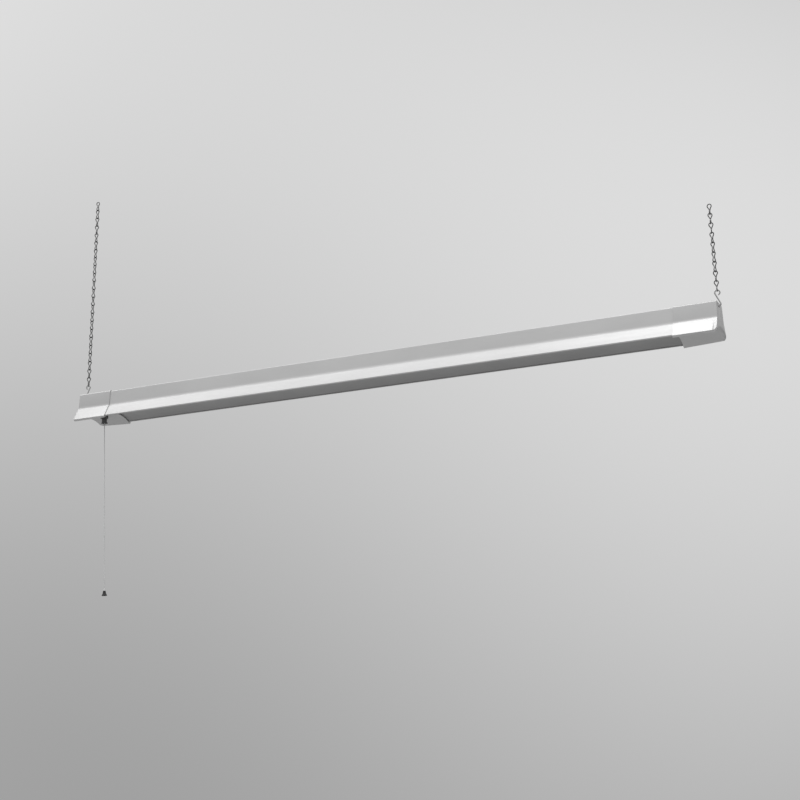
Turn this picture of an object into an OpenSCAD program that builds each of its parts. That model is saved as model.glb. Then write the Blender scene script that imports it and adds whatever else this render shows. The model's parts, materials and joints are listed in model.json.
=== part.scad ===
// Linear shop light hung on two jack chains, with a pull switch. Millimetres, +Z up, +X along the hood.
// The origin lies on the line through the two chains' swing points, straight above the middle of the hood.

/* [Hood] */
// Length over both end caps
overall_length = 1170; // [1000:10:1500]
// Width across the flat top
top_w = 42.4; // [40:0.2:48]
// Width at the waist, where the sides turn out into the wings
waist_w = 49.8; // [47:0.2:56]
// Width over the wing tips
tip_w = 79.8; // [76:0.2:90]
// Height from the wing tips to the flat top
hood_h = 48.4; // [46:0.2:60]
// Height of the waist above the wing tips
waist_h = 22; // [20:0.5:26]
// Thickness of the rolled aluminium
sheet_t = 0.8; // [0.6:0.1:1.2]
// Outside radius of the two top corners
top_r = 1.8; // [1.2:0.1:3]
// Radius of the soft bend at the waist
waist_r = 14; // [8:1:20]
// Width of the lip turned in along each wing tip
lip_w = 4; // [3:0.5:5]

/* [End caps] */
// Length of an end cap that shows
cap_len = 66.8; // [60:0.2:80]
// Wall of an end cap's skin
cap_wall = 1.2; // [1:0.1:1.6]
// Room between the hood and a cap's skin
cap_gap = 0.2; // [0.1:0.05:0.3]
// How far the hood runs into a cap
cap_lap = 24; // [18:1:30]
// Thickness of the end wall
end_wall = 2; // [1.6:0.1:3]
// Plan radius of a cap's wing corners
cap_corner_r = 6; // [4:0.5:12]
// Plan radius of the switch end's front corner
switch_corner_r = 1.5; // [1.4:0.1:6]
// How far a cap's wing tip reaches past the hood's
tip_wrap = 1.55; // [1:0.05:2.5]
// Inward run of the sloping foot under a wing tip
foot_in = 2.6; // [2:0.1:3.5]
// Drop of that foot
foot_drop = 3; // [2:0.1:3.5]
// How much higher the rear foot ends at the end wall
sole_rise = 3.8; // [1:0.1:4]
// Crown of the arched underside above the hood's wing tips
arch_crown = 8.5; // [8:0.1:10]
// Thickness of the arched underside
arch_wall = 2; // [1.6:0.1:2.4]
// Height of the bar that a hook pulls on
bar_h = 3.6; // [3:0.1:5]
// Width of the hook's slot
slot_w = 5; // [4:0.1:7]
// Shank diameter of a cap screw
cap_screw_d = 3; // [2.5:0.1:4]
// Distance of the cap screws from the seam
cap_screw_in = 12; // [9:0.5:15]

/* [Lens] */
// Thickness of the lens
lens_t = 1.5; // [1:0.1:2]
// Crown of the lens's underside above the hood's wing tips
lens_crown = 11.4; // [11.2:0.1:13]
// How far in from the wing tips the lens ends
lens_inset = 3.2; // [3:0.1:3.6]
// How far the lens runs into a cap
lens_lap = 10; // [6:1:16]

/* [LED tray] */
// Height of the tray's underside above the wing tips
tray_z = 24.4; // [23:0.2:27]
// Height of the tray's side flanges
tray_flange = 7; // [5:0.5:9]
// Number of LED boards end to end
boards = 4; // [3:1:5]
// Width of a board
board_w = 22; // [18:0.5:28]
// Thickness of a board
board_t = 1.2; // [0.8:0.1:1.6]
// LEDs on a board
leds_per_board = 12; // [8:1:16]
// Length of an LED
led_l = 3.5; // [3:0.1:5]
// Width of an LED
led_w = 2.8; // [2:0.1:4]
// Height of an LED
led_h = 0.8; // [0.6:0.1:1.4]

/* [Driver] */
// Length of the driver's case
driver_l = 170; // [150:1:200]
// Width of the driver's case
driver_w = 32; // [30:0.5:35]
// Height of the driver's case
driver_h = 17.5; // [17:0.1:18.5]
// Distance from the middle of the light to the case's near end
driver_in = 220; // [150:5:250]
// Sheet thickness of the case
case_t = 0.8; // [0.6:0.1:1]
// Length of the foot at each end of the case
foot_l = 12; // [10:0.5:16]

/* [Pull switch] */
// Distance from a cap's end wall to the switch
switch_in = 38; // [37:0.5:42]
// Length of the switch body
switch_l = 26; // [24:0.5:27]
// Width of the switch body
switch_w = 20; // [18.5:0.5:22]
// Height of the switch body
switch_h = 18; // [17:0.5:19]
// Wall of the switch body
switch_wall = 2; // [1.6:0.1:2.2]
// Outside diameter of the threaded neck
neck_d = 9.8; // [8:0.1:11]
// Bore of the neck
neck_bore = 3.2; // [3:0.1:4]
// How far the neck's mouth hangs below the hood's wing tips
mouth_drop = 6; // [5:0.5:9]
// Diameter of the bell mouth
mouth_d = 12; // [11:0.5:13]
// Height of the bell mouth
mouth_h = 3; // [2:0.5:4]
// Diameter of the round nut
nut_d = 14; // [13:0.5:16]
// Height of the round nut
nut_h = 5; // [4:0.5:6]
// Travel of a full pull
pull_travel = 8; // [6:0.5:8.5]
// Diameter of the ratchet wheel over its teeth
ratchet_d = 10; // [8:0.2:10.4]
// Number of ratchet teeth
ratchet_teeth = 8; // [6:1:10]
// Mean radius of the return spring
spring_r = 2.9; // [2.7:0.1:3.1]
// Wire of the return spring
spring_wire = 0.6; // [0.4:0.1:0.8]

/* [Pull cord] */
// Diameter of the cord
cord_d = 1.4; // [1.2:0.1:2]
// Length of cord that hangs below the switch
cord_len = 306; // [150:1:600]
// Largest diameter of the end bell
bell_d = 9.6; // [8:0.2:14]
// Height of the end bell
bell_h = 9; // [8:0.5:14]

/* [Hooks and chains] */
// Wire of an S-hook
hook_wire = 2.2; // [1.8:0.1:2.4]
// Mean radius of an S-hook's bends
hook_r = 3.9; // [3.8:0.1:4.4]
// Distance between the centres of its two bends
hook_span = 18.4; // [16:0.1:24]
// Wire of the chain
chain_wire = 1.6; // [1.4:0.1:1.7]
// Mean radius of a link's loops
loop_r = 3.2; // [3:0.1:3.6]
// Pitch of the chain
link_pitch = 15.5; // [15:0.1:18]
// Links in the left chain
left_links = 23; // [6:1:60]
// Links in the right chain
right_links = 9; // [6:1:60]
// Lean of the left chain towards the middle, degrees
left_lean_angle = 3.4; // [0:0.1:6]

/* [Inlet] */
// Bore of the supply cord's bushing
inlet_bore = 9; // [7:0.1:11]
// Height of the bushing above the hood's wing tips
inlet_z = 23; // [21:0.5:25]

/* [Hidden] */
$fn = 64;
touch_gap = 0.05; // between pieces that rest on each other on curved faces
part_gap = 0.3;   // between pieces that move past each other
foot_flat = 0.4;  // the caps' feet end in a flat edge this wide
cut = 1;          // how far a cutter runs past the face it opens

// Hood and caps
half_l = overall_length / 2;
seam_x = half_l - cap_len;
hood_end = seam_x + cap_lap;
cap_out = cap_gap + cap_wall;
cap_top = hood_h + cap_out;
bar_z = cap_top - bar_h;
slope = atan2((tip_w - waist_w) / 2, waist_h);
slot_l = 2 * hook_r + hook_wire - end_wall;
hole_h = 1.6 * hook_wire;

// Lens, tray and boards
lens_half = tip_w / 2 - lens_inset;
lens_edge_z = sheet_t + cap_gap;
lens_rise = lens_crown - lens_edge_z;
lens_r = arc_r(lens_half, lens_rise);
tray_l = 2 * seam_x;
board_l = tray_l / boards;
board_z = tray_z - board_t;
led_pitch = board_l / leds_per_board;
plug_l = 9;
plug_w = 6;
plug_h = 2.5;
board_screw_d = 3;
head_h = 1.8;

// Driver
driver_top = hood_h - sheet_t;
driver_base_z = driver_top - driver_h;
driver_x0 = -driver_in - driver_l;
driver_x1 = -driver_in;
insulator_t = 0.4;
pcb_t = 1.6;
pcb_z = driver_base_z + case_t + insulator_t;
part_z = pcb_z + pcb_t;
rivet_d = 3.2;
lead_d = 1.8;
lead_z = part_z + 6;
lead_hole = lead_d + 1;

// Terminal block
block_l = 24;
block_w = 17;
block_h = 12;
block_x = -(seam_x - 20);
block_z = tray_z + sheet_t;
ways = 3;
way_w = block_w / ways;
lead_y = way_w;

// Pull switch
switch_x = half_l - switch_in;
switch_z = arch_crown + arch_wall + touch_gap;
floor_z = switch_z + switch_wall;
switch_top = switch_z + switch_h;
mouth_z = -mouth_drop;
arm_t = 2;
knot_h = 1;
arm_top = switch_top - knot_h - 2 * part_gap;
spring_h = arm_top - arm_t - floor_z - 2 * touch_gap;
spring_turns = 5;
ratchet_z = (floor_z + switch_top) / 2;
ratchet_x = -switch_x + spring_r + spring_wire / 2 + 1;
ratchet_t = 3;
axle_d = 2.4;
axle_play = 0.05;
finger_t = 1.2;
finger_y = ratchet_d / 2 + part_gap;
finger_z = floor_z + pull_travel + part_gap;
cord_top_z = mouth_z - 0.6 * cord_d;
cord_low_z = cord_top_z - cord_len;

// Hooks and chains, before the left one leans
hook_in = hook_r - hook_wire / 2;
hook_x = half_l - end_wall / 2;
hook_z = bar_z + sqrt(pow(hook_in - part_gap, 2) - pow(end_wall / 2, 2));
link_play = 0.15;
open_play = 0.9;  // at the right chain's top, where the swinging light needs more
link_in = (link_pitch + link_play) / 2;
loop_z = link_in - loop_r + chain_wire / 2;
twist_x = 0.72 * chain_wire;
twist_z = 1.3;
bend_d = chain_wire + 0.08;
twist_d = norm([twist_x, loop_z - twist_z]);
twist_angle = acos(loop_r / twist_d) - atan2(loop_z - twist_z, twist_x);
first_link = hook_span + hook_in - link_play + link_in;
function link_height(k) = first_link + (k - 1) * link_pitch;
function swing_height(links) = link_height(links - 1) + link_in + chain_wire / 2;
function leaned(h, lean) = [h * sin(lean), h * cos(lean)];

// The line through the two swing points sets the frame's height
swing_left = [-hook_x, hook_z] + leaned(swing_height(left_links), left_lean_angle);
swing_right = [hook_x, hook_z + swing_height(right_links)];
line_fall = (swing_right.y - swing_left.y) / (swing_right.x - swing_left.x);
line_z = swing_left.y - swing_left.x * line_fall;

echo(frame_above_tips = line_z, swing_left = swing_left, swing_right = swing_right);
echo(hook_z = hook_z - line_z, lowest_cord = cord_low_z - bell_h - line_z);

// ---------- outlines ----------

function unit(v) = v / norm(v);
function left_of(v) = [-v.y, v.x];
function flipped(path) = [for (i = [len(path) - 1:-1:0]) path[i]];
function mirrored(path) = [for (p = path) [-p.x, p.y]];

// Moves an open path sideways, to its left, and keeps its corners sharp
function shifted(path, d) = let (last = len(path) - 1)
  [for (i = [0:last])
    let (ahead = unit(path[min(i + 1, last)] - path[min(i, last - 1)]),
         behind = unit(path[max(i, 1)] - path[max(i - 1, 0)]),
         side = unit(left_of(ahead) + left_of(behind)))
    path[i] + side * d / (side * left_of(ahead))];

// The arc that rounds corner b, between a and c
function bend(a, b, c, r, steps) =
  let (u = unit(a - b), v = unit(c - b), half = acos(u * v) / 2,
       o = b + unit(u + v) * r / sin(half),
       s = b + u * r / tan(half) - o,
       e = b + v * r / tan(half) - o,
       from = atan2(s.y, s.x),
       ahead = (atan2(e.y, e.x) - from + 360) % 360,
       turn = ahead > 180 ? ahead - 360 : ahead)
  [for (k = [0:steps]) o + r * [cos(from + turn * k / steps), sin(from + turn * k / steps)]];

// Half of the hood's outside, from the middle of the top to the wing tip
hood_half = let (p = [[0, hood_h], [top_w / 2, hood_h], [waist_w / 2, waist_h], [tip_w / 2, 0]])
  concat([p[0]], bend(p[0], p[1], p[2], top_r, 4), bend(p[1], p[2], p[3], waist_r, 6), [p[3]]);

function whole(half) = concat(flipped(mirrored(half)), [for (i = [1:len(half) - 1]) half[i]]);
function strip(path, t) = concat(path, flipped(shifted(path, -t)));

// The hood's outside from lip to lip, grown by g
function hood_path(g) = shifted(whole(concat(hood_half, [[tip_w / 2 - lip_w - g, 0]])), g);

function arc_r(half, rise) = (rise * rise + half * half) / (2 * rise);

module along(x0, x1) translate([x0, 0, 0]) rotate([90, 0, 90]) linear_extrude(x1 - x0) children();

module place() translate([0, 0, -line_z]) children();

// An arched band between two half widths, its underside crowned at that height
module arch_band(half, crown, r, t) {
  intersection() {
    difference() {
      translate([0, crown - r]) circle(r + t, $fn = 180);
      translate([0, crown - r]) circle(r, $fn = 180);
    }
    translate([-half, 0]) square([2 * half, crown + t + cut]);
  }
}

module rod(p, q, d) {
  v = q - p;
  translate(p) rotate([0, acos(v.z / norm(v)), atan2(v.y, v.x)]) cylinder(h = norm(v), d = d, $fn = 32);
}

// A bent lead: straight runs with a larger ball at each bend
module lead(points, d) {
  for (i = [0:len(points) - 2]) rod(points[i], points[i + 1], d);
  for (i = [1:len(points) - 2]) translate(points[i]) sphere(d = d + 0.5, $fn = 32);
}

module wire_arc(r, d, from, to)
  rotate([90, 0, 0]) rotate([0, 0, from]) rotate_extrude(angle = to - from, $fn = 48)
    translate([r, 0]) circle(d = d, $fn = 32);

module block(lo, size) translate(lo) cube(size);

// A pan-head screw whose head rests at the origin and whose shank points down
module pan_screw(d, length, head_d) {
  cylinder(h = head_h, d1 = head_d, d2 = head_d * 0.7);
  translate([0, 0, -length]) cylinder(h = length + head_h / 2, d = d);
}

// ---------- hood ----------

cap_screw_ats = [for (s = [-1, 1], y = [-1, 1]) [s * (seam_x + cap_screw_in), y * top_w * 0.3]];
rivet_xs = [driver_x0 - foot_l / 2, driver_x1 + foot_l / 2];
rivet_play = 0.1;

module housing() place() color("silver") difference() {
  along(-hood_end, hood_end) polygon(strip(hood_path(0), sheet_t));
  for (p = cap_screw_ats) translate([p.x, p.y, hood_h - 3 * sheet_t]) cylinder(h = 4 * sheet_t, d = cap_screw_d + 0.1);
  for (x = rivet_xs) translate([x, 0, hood_h - 3 * sheet_t]) cylinder(h = 4 * sheet_t, d = rivet_d + rivet_play);
}

// ---------- end caps ----------

cap_edge = shifted(hood_half, cap_out);
cap_tip = cap_edge[len(cap_edge) - 1] + tip_wrap * [sin(slope), -cos(slope)];
foot_end = cap_tip - [foot_in, foot_drop];
arch_r = arc_r(foot_end.x - foot_flat, arch_crown - foot_end.y);
cap_path = concat([for (i = [0:len(cap_edge) - 2]) cap_edge[i]], [cap_tip, foot_end]);

// Plan of the +X cap: round outer corners, its own radius at the front, drawn in at its end and its sides
module plan(ends, sides, front_r) translate([0, 0, -cut - foot_drop - 1])
  linear_extrude(cap_top + 4 * cut + foot_drop) {
    l = half_l - ends;
    w = cap_tip.x - sides;
    for (rear = [true, false]) {
      r = (rear ? cap_corner_r : front_r) - sides;
      translate([l - r, rear ? w - r : r - w]) circle(r);
      translate([0, rear ? -cut : -w]) square([l - r, w + cut]);
      translate([0, rear ? -cut : r - w]) square([l, w - r + cut]);
    }
  }

// That outline from x0 to the +X end, over an arch grown by g
module cap_shape(half, x0, ends, sides, g, front_r) difference() {
  intersection() {
    along(x0, half_l + cut) polygon(whole(half));
    plan(ends, sides, front_r);
  }
  along(x0 - cut, half_l + 2 * cut) translate([0, arch_crown - arch_r]) circle(arch_r + g, $fn = 180);
}

// What the rear foot lacks as it rises towards the end wall
module under_sole() translate([0, cap_tip.x + cut, 0]) rotate([90, 0, 0]) linear_extrude(cap_tip.x / 2)
  polygon([[seam_x - cut, foot_end.y - 2 * cut], [seam_x - cut, foot_end.y - touch_gap],
           [half_l + cut, foot_end.y + sole_rise], [half_l + cut, foot_end.y - 2 * cut]]);

// The cap at the +X end
module end_cap(front_r) difference() {
  cap_shape(cap_path, seam_x, 0, -touch_gap, 0, front_r);
  cap_shape(shifted(hood_half, cap_gap), seam_x - cut, end_wall, cap_wall, arch_wall, front_r);
  under_sole();
  along(seam_x - cut, hood_end + cap_gap) polygon(strip(hood_path(cap_gap), sheet_t + 2 * cap_gap));
  // the hook's hole in the end wall, and the slot over it in the top
  translate([half_l - end_wall - cut, -slot_w / 2, bar_z - hole_h]) cube([end_wall + 2 * cut, slot_w, hole_h]);
  translate([half_l - end_wall - slot_l, -slot_w / 2, cap_top - cap_out - cut])
    cube([slot_l, slot_w, cap_out + 2 * cut]);
  for (p = cap_screw_ats) translate([p.x, p.y, hood_h - cut]) cylinder(h = cap_out + 2 * cut, d = cap_screw_d + 0.4);
}

flange_d = inlet_bore + 8;
body_d = inlet_bore + 4;
flange_t = 1.6;

module left_end_cap() place() color("gray") difference() {
  mirror([1, 0, 0]) end_cap(switch_corner_r);
  translate([-half_l - cut, 0, inlet_z]) rotate([0, 90, 0]) cylinder(h = end_wall + 2 * cut, d = body_d + 0.2);
  translate([-switch_x, 0, arch_crown - 2 * cut]) cylinder(h = arch_wall + 4 * cut, d = neck_d + 0.4);
}

module right_end_cap() place() color("gray") end_cap(cap_corner_r);

module cap_screws() place() color("silver") for (p = cap_screw_ats)
  translate([p.x, p.y, cap_top]) pan_screw(cap_screw_d, cap_out + sheet_t + 3, 2 * cap_screw_d);

// A ring that snaps into the left end wall, with its flange outside and its barbs inside
module inlet_bushing() place() color("dimgray") translate([-half_l - flange_t, 0, inlet_z]) rotate([0, 90, 0])
  difference() {
    union() {
      cylinder(h = flange_t - touch_gap, d = flange_d);
      cylinder(h = flange_t + end_wall + 2.4, d = body_d);
      translate([0, 0, flange_t + end_wall + part_gap]) cylinder(h = 1.2, d1 = body_d + 1.6, d2 = body_d);
    }
    translate([0, 0, -cut]) cylinder(h = flange_t + end_wall + 2.4 + 2 * cut, d = inlet_bore);
  }
inlet_l = flange_t + end_wall + 2.4;

// ---------- lens, tray and LEDs ----------

module lens() place() color("gainsboro") along(-seam_x - lens_lap, seam_x + lens_lap)
  arch_band(lens_half, lens_crown, lens_r, lens_t);

// Inside half width of the hood's side wall at a height
function wall_half(z) = top_w / 2 + (waist_w - top_w) / 2 * (hood_h - z) / (hood_h - waist_h)
  - sheet_t / cos(atan2((waist_w - top_w) / 2, hood_h - waist_h)) - 0.1;

tray_path = [[0, tray_z], [wall_half(tray_z), tray_z],
             [wall_half(tray_z + tray_flange), tray_z + tray_flange]];
board_centres = [for (i = [0:boards - 1]) -tray_l / 2 + (i + 0.5) * board_l];
screw_xs = [for (x = board_centres, s = [-1, 1]) x + s * board_l / 4];
seam_xs = [for (i = [1:boards - 1]) -tray_l / 2 + i * board_l];
lead_x = driver_x1 + foot_l + 6;
earth_x = block_x + block_l / 2 + 12;

module led_tray() place() color("white") difference() {
  along(-tray_l / 2, tray_l / 2)
    polygon(concat(whole(tray_path), flipped(shifted(whole(tray_path), sheet_t))));
  for (x = screw_xs) translate([x, 0, tray_z - cut]) cylinder(h = sheet_t + 2 * cut, d = board_screw_d + 0.1);
  translate([lead_x, lead_y, tray_z - cut]) cylinder(h = sheet_t + 2 * cut, d = lead_hole + 2);
  translate([earth_x, 0, tray_z - cut]) cylinder(h = sheet_t + 2 * cut, d = board_screw_d + 0.1);
}

module led_boards() place() color("white") for (x = board_centres) difference() {
  block([x - board_l / 2 + 0.5, -board_w / 2, board_z], [board_l - 1, board_w, board_t]);
  for (s = [-1, 1]) translate([x + s * board_l / 4, 0, board_z - cut])
    cylinder(h = board_t + 2 * cut, d = board_screw_d + 0.1);
  translate([earth_x, 0, board_z - cut]) cylinder(h = board_t + 2 * cut, d = board_screw_d + 1);
}

module leds() place() color("khaki") for (x = board_centres, i = [0:leds_per_board - 1]) {
  at = x - board_l / 2 + (i + 0.5) * led_pitch;
  for (s = [-1, 1]) if (i % 2 == (s + 1) / 2)
    block([at - led_l / 2, s * board_w / 4 - led_w / 2, board_z - led_h], [led_l, led_w, led_h]);
}

module board_links() place() color("ivory") for (x = seam_xs) difference() {
  block([x - plug_l / 2, -plug_w / 2, board_z - plug_h], [plug_l, plug_w, plug_h]);
  for (s = [-1, 1]) block([x - plug_l / 2 - cut, s * plug_w / 4 - 0.6, board_z - plug_h - cut],
    [cut + 1.5, 1.2, cut + 1]);
}

module board_screws() place() color("silver") for (x = screw_xs)
  translate([x, 0, board_z]) mirror([0, 0, 1]) pan_screw(board_screw_d, board_t + sheet_t + 1.5, 5.4);

module earth_screw() place() color("green") translate([earth_x, 0, block_z]) {
  pan_screw(board_screw_d, sheet_t + board_t, 6);
}

// ---------- driver ----------

// Upper half of the case: its web lies under the hood's top, with a riveted foot at each end
module driver_base() place() color("lightgray") difference() {
  union() {
    block([driver_x0 - foot_l, -driver_w / 2, driver_top - case_t], [driver_l + 2 * foot_l, driver_w, case_t]);
    for (s = [-1, 1]) block([driver_x0, s > 0 ? driver_w / 2 - case_t : -driver_w / 2, driver_base_z + case_t],
      [driver_l, case_t, driver_h - case_t]);
  }
  for (x = rivet_xs) translate([x, 0, driver_top - 2 * case_t]) cylinder(h = 3 * case_t, d = rivet_d + rivet_play);
}

// Lower half of the case: a floor and two end walls, with a hole for the leads in each
module driver_cover() place() color("silver") difference() {
  union() {
    block([driver_x0, -driver_w / 2, driver_base_z], [driver_l, driver_w, case_t]);
    for (x = [driver_x0, driver_x1 - case_t])
      block([x, case_t + 0.1 - driver_w / 2, driver_base_z], [case_t, driver_w - 2 * case_t - 0.2, driver_h - case_t]);
  }
  for (x = [driver_x0, driver_x1 - case_t], y = [-lead_y, lead_y])
    translate([x - cut, y, lead_z]) rotate([0, 90, 0]) cylinder(h = case_t + 2 * cut, d = lead_hole);
}

in_x0 = driver_x0 + case_t + 1;
in_l = driver_l - 2 * (case_t + 1);
in_w = driver_w - 2 * (case_t + 1);

module driver_insulator() place() color("black")
  block([in_x0, -in_w / 2, driver_base_z + case_t], [in_l, in_w, insulator_t]);

module driver_board() place() color("darkgreen") block([in_x0 + 2, -in_w / 2, pcb_z], [in_l - 4, in_w, pcb_t]);

core_l = 22;
core_w = 18;
core_h = 11;
core_x = driver_x0 + driver_l * 0.55;
module driver_transformer() place() color("goldenrod") difference() {
  union() {
    block([core_x - core_l / 2, -core_w / 2, part_z], [core_l, core_w, 2]);
    block([core_x - core_l / 2, -core_w / 2 + 3, part_z + 2], [core_l, core_w - 6, core_h - 2]);
    translate([core_x, 0, part_z + 2]) cylinder(h = core_h - 2, d = core_w - 1);
  }
  for (s = [-1, 1]) translate([core_x + s * core_l / 2, 0, part_z + core_h / 2]) cube([3, 4, core_h], center = true);
}

can_ds = [10, 8, 8];
can_xs = [driver_x0 + driver_l * 0.24, driver_x0 + driver_l * 0.8, driver_x0 + driver_l * 0.87];
can_h = 12;
module driver_capacitors() place() color("midnightblue") for (i = [0:2])
  translate([can_xs[i], 0, part_z]) difference() {
    cylinder(h = can_h, d = can_ds[i]);
    translate([0, 0, can_h - 0.4]) cylinder(h = 1, d = can_ds[i] - 2);
    translate([0, 0, 1.6]) rotate_extrude() translate([can_ds[i] / 2 + 0.3, 0]) circle(d = 1.2);
  }

module driver_choke() place() color("saddlebrown") translate([driver_x0 + driver_l * 0.38, 0, part_z + 3])
  rotate_extrude() translate([6, 0]) circle(d = 6);

// Blind rivets through the hood's top and the case's feet
module driver_rivets() place() color("silver") for (x = rivet_xs) {
  translate([x, 0, driver_top - case_t - 1.4]) cylinder(h = case_t + sheet_t + 1.4 + touch_gap, d = rivet_d);
  translate([x, 0, driver_top - case_t - 1.4]) cylinder(h = 1.4, d1 = rivet_d, d2 = rivet_d + 1.4);
  translate([x, 0, hood_h]) cylinder(h = 1.1, d1 = 2 * rivet_d, d2 = rivet_d);
}

// ---------- terminal block and leads ----------

function way_y(i) = (i - (ways - 1) / 2) * way_w;

module terminal_block() place() color("whitesmoke") difference() {
  block([block_x - block_l / 2, -block_w / 2, block_z], [block_l, block_w, block_h]);
  for (i = [0:ways - 1]) {
    translate([block_x - block_l / 2 - cut, way_y(i), block_z + block_h / 2])
      rotate([0, 90, 0]) cylinder(h = block_l + 2 * cut, d = lead_hole);
    for (s = [-1, 1]) translate([block_x + s * block_l / 4, way_y(i), block_z + block_h / 2])
      cylinder(h = block_h, d = 3.4);
  }
  for (i = [0:ways - 2]) block([block_x - block_l / 2 - cut, way_y(i) + way_w / 2 - 0.5, block_z + block_h - 2],
    [block_l + 2 * cut, 1, 2 + cut]);
}

module terminal_screws() place() color("silver") for (i = [0:ways - 1], s = [-1, 1])
  translate([block_x + s * block_l / 4, way_y(i), block_z + block_h / 2 + lead_d / 2 + touch_gap]) difference() {
    cylinder(h = 3.5, d = 3.2);
    translate([0, 0, 3.4]) cube([4, 0.6, 1.4], center = true);
  }

end_x = block_x + block_l / 4;
stud_x = [-switch_x - 6, -switch_x + 6];
stud_h = 1.5;
way_z = block_z + block_h / 2;

// Live and neutral: block to switch, switch to driver, block to driver, and earth to the tray
stud_top = switch_top + stud_h + 2;
rise = lead_z - way_z;

module mains_leads() place() color("black") {
  for (i = [0, 1]) {
    y = (2 * i - 1) * lead_y;
    x = stud_x[1 - i];
    out_x = block_x - block_l / 2 - 4;
    lead([[block_x - block_l / 4, y, way_z], [out_x, y, way_z], [out_x - rise, y, lead_z],
          [x, y, lead_z], [x, 0, lead_z], [x, 0, stud_top + touch_gap]], lead_d);
    lead([[end_x, y, way_z], [driver_x0 - 8 - rise, y, way_z],
          [driver_x0 - 8, y, lead_z], [driver_x0 + 4, y, lead_z]], lead_d);
  }
  lead([[end_x, 0, way_z], [earth_x, 0, way_z], [earth_x, 0, block_z + head_h + touch_gap]], lead_d);
}

// The driver's output, down through the tray to the boards
module led_leads() place() color("red")
  lead([[driver_x1 - 4, lead_y, lead_z], [lead_x, lead_y, lead_z], [lead_x, lead_y, tray_z + touch_gap]], lead_d);

// ---------- pull switch ----------

module at_switch() place() translate([-switch_x, 0, 0]) children();

module switch_body() at_switch() color("ivory") {
  difference() {
    block([-switch_l / 2, -switch_w / 2, switch_z], [switch_l, switch_w, switch_h]);
    block([switch_wall - switch_l / 2, switch_wall - switch_w / 2, floor_z],
      [switch_l - 2 * switch_wall, switch_w - 2 * switch_wall, switch_h]);
    translate([0, 0, switch_z - cut]) cylinder(h = switch_wall + 2 * cut, d = neck_d + 0.1);
  }
  // the ratchet wheel's axle
  translate([ratchet_x + switch_x, 0, ratchet_z]) rotate([0, 90, 0])
    cylinder(h = switch_l / 2 - switch_wall / 2 - ratchet_x - switch_x, d = axle_d);
}

module switch_cover() at_switch() color("dimgray") {
  block([-switch_l / 2, -switch_w / 2, switch_top], [switch_l, switch_w, stud_h]);
  for (x = stud_x) translate([x + switch_x, 0, switch_top + stud_h / 2])
    cylinder(h = stud_top - switch_top - stud_h / 2, d = 5);
}

neck_top = floor_z - touch_gap;

module switch_neck() at_switch() color("dimgray") difference() {
  union() {
    translate([0, 0, mouth_z + mouth_h]) cylinder(h = neck_top - mouth_z - mouth_h, d = neck_d);
    translate([0, 0, mouth_z + mouth_h / 2]) cylinder(h = mouth_h / 2 + touch_gap, d1 = mouth_d, d2 = neck_d);
    translate([0, 0, mouth_z]) cylinder(h = mouth_h / 2, d = mouth_d);
  }
  translate([0, 0, mouth_z - cut]) cylinder(h = neck_top - mouth_z + 2 * cut, d = neck_bore);
  translate([0, 0, mouth_z - touch_gap]) cylinder(h = mouth_h, d1 = mouth_d - 2, d2 = neck_bore);
}

function arch_z(y) = arch_crown - arch_r + sqrt(arch_r * arch_r - y * y);
nut_top = arch_z(nut_d / 2) - touch_gap;
nut_ribs = 24;

module switch_nut() at_switch() color("dimgray") translate([0, 0, nut_top - nut_h]) difference() {
  cylinder(h = nut_h, d = nut_d);
  translate([0, 0, -cut]) cylinder(h = nut_h + 2 * cut, d = neck_d + 0.1);
  for (k = [0:nut_ribs - 1]) rotate([0, 0, k * 360 / nut_ribs]) translate([nut_d / 2 + 0.25, 0, -cut])
    cylinder(h = nut_h + 2 * cut, d = 1.2, $fn = 16);
}

// Two leaf contacts that stand on the floor beside the ratchet wheel
contact_y = ratchet_d / 2 + part_gap;
module switch_contacts() at_switch() color("goldenrod") for (x = [0, ratchet_t - 1])
  block([ratchet_x + switch_x + x, -contact_y - 0.6, floor_z], [1, 0.6, ratchet_z - floor_z + 2]);

// The coil round the cord, between the floor and the arm's head
spring_sides = 6;
spring_rings = 8 * spring_turns;
function coil_point(k) = let (a = 360 * k * spring_turns / spring_rings)
  [spring_r * cos(a), spring_r * sin(a), spring_wire / 2 + (spring_h - spring_wire) * k / spring_rings];
module switch_spring() at_switch() color("silver") translate([0, 0, floor_z + touch_gap])
  tube([for (k = [0:spring_rings]) coil_point(k)], spring_wire, spring_sides);

// The slide: a head over the spring, and a finger that turns the ratchet wheel
module pull_arm() at_switch() color("white") {
  difference() {
    block([-spring_r - 0.8, -spring_r - 0.8, arm_top - arm_t], [2 * spring_r + 1.6, finger_y + finger_t + spring_r + 0.8, arm_t]);
    translate([0, 0, arm_top - arm_t - cut]) cylinder(h = arm_t + 2 * cut, d = cord_d + 0.2);
  }
  block([spring_r + 0.8 - finger_t, finger_y, arm_top - arm_t], [ratchet_x + switch_x + ratchet_t - spring_r - 0.8 + finger_t, finger_t, arm_t]);
  block([ratchet_x + switch_x, finger_y, finger_z], [ratchet_t, finger_t, arm_top - finger_z]);
}

module ratchet_wheel() at_switch() color("orange") translate([ratchet_x + switch_x, 0, ratchet_z]) rotate([0, 90, 0])
  linear_extrude(ratchet_t) difference() {
    polygon([for (k = [0:2 * ratchet_teeth - 1]) let (a = floor(k / 2) * 360 / ratchet_teeth,
      r = (k % 2 == 0 ? ratchet_d : ratchet_d - 2.6) / 2) r * [cos(a), sin(a)]]);
    circle(d = axle_d + 2 * axle_play);
  }

// ---------- pull cord ----------

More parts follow.
